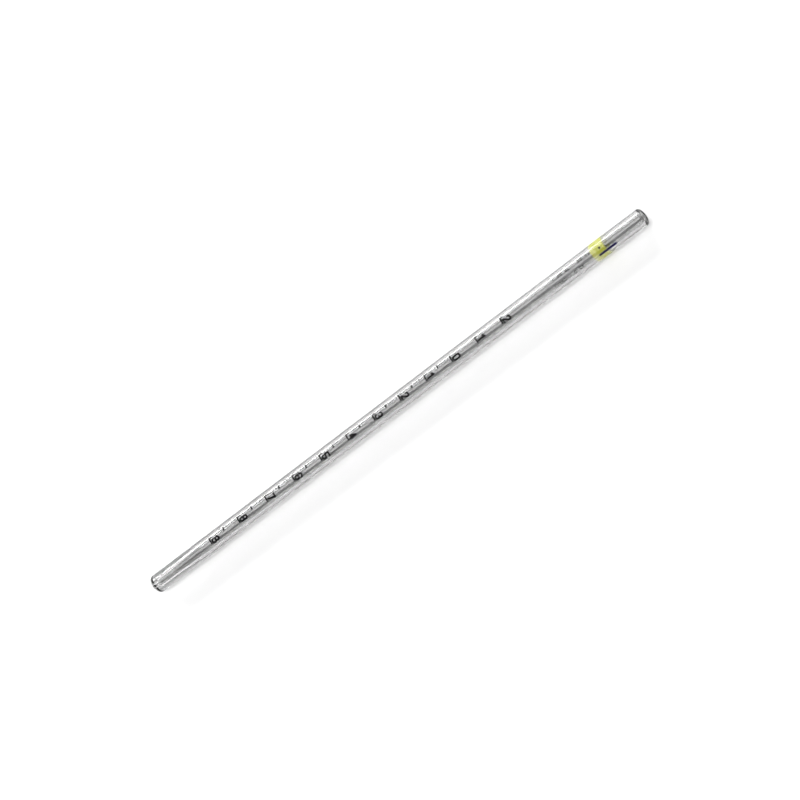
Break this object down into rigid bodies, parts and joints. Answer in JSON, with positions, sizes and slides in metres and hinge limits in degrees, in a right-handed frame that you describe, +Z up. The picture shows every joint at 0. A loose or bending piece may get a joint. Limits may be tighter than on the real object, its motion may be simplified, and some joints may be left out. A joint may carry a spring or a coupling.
{
  "type": "graduated pipette",
  "caption": "Straight clear graduated pipette with a heavy-walled tip, a fine orifice, a printed scale with numerals, a yellow colour-code band and a rounded mouth.",
  "frame": {"origin": "middle of the pipette's length, on the surface that it lies on", "axes": "+X along the tube towards its mouth, +Z up through the printed scale, +Y towards the left edge of the scale"},
  "size_m": [0.205, 0.0062, 0.0062],
  "materials": {
    "clear_glass": "clear, smooth, fire-polished ends",
    "black_ink": "black printed ink film, slightly uneven",
    "yellow_enamel": "yellow colour-code enamel, slightly translucent",
    "navy_ink": "dark blue printed ink film"
  },
  "bodies": {
    "root": {"barrel": "clear_glass", "calibration_print": "black_ink", "capacity_print": "black_ink", "colour_code_band": "yellow_enamel", "major_line_0_0": "black_ink", "major_line_0_1": "black_ink", "major_line_0_2": "black_ink", "major_line_0_3": "black_ink", "major_line_0_4": "black_ink", "major_line_0_5": "black_ink", "major_line_0_6": "black_ink", "major_line_0_7": "black_ink", "major_line_0_8": "black_ink", "major_line_0_9": "black_ink", "major_line_above_zero_0_1": "black_ink", "major_line_above_zero_0_2": "black_ink", "mid_line_0_05": "black_ink", "mid_line_0_15": "black_ink", "mid_line_0_25": "black_ink", "mid_line_0_35": "black_ink", "mid_line_0_45": "black_ink", "mid_line_0_55": "black_ink", "mid_line_0_65": "black_ink", "mid_line_0_75": "black_ink", "mid_line_0_85": "black_ink", "minor_lines": "black_ink", "mouthpiece": "clear_glass", "navy_marks": "navy_ink", "numeral_0_0": "black_ink", "numeral_0_1": "black_ink", "numeral_0_2": "black_ink", "numeral_0_3": "black_ink", "numeral_0_4": "black_ink", "numeral_0_5": "black_ink", "numeral_0_6": "black_ink", "numeral_0_7": "black_ink", "numeral_0_8": "black_ink", "numeral_0_9": "black_ink", "numeral_above_zero_0_1": "black_ink", "numeral_above_zero_0_2": "black_ink", "tip": "clear_glass"}
  },
  "joints": []
}
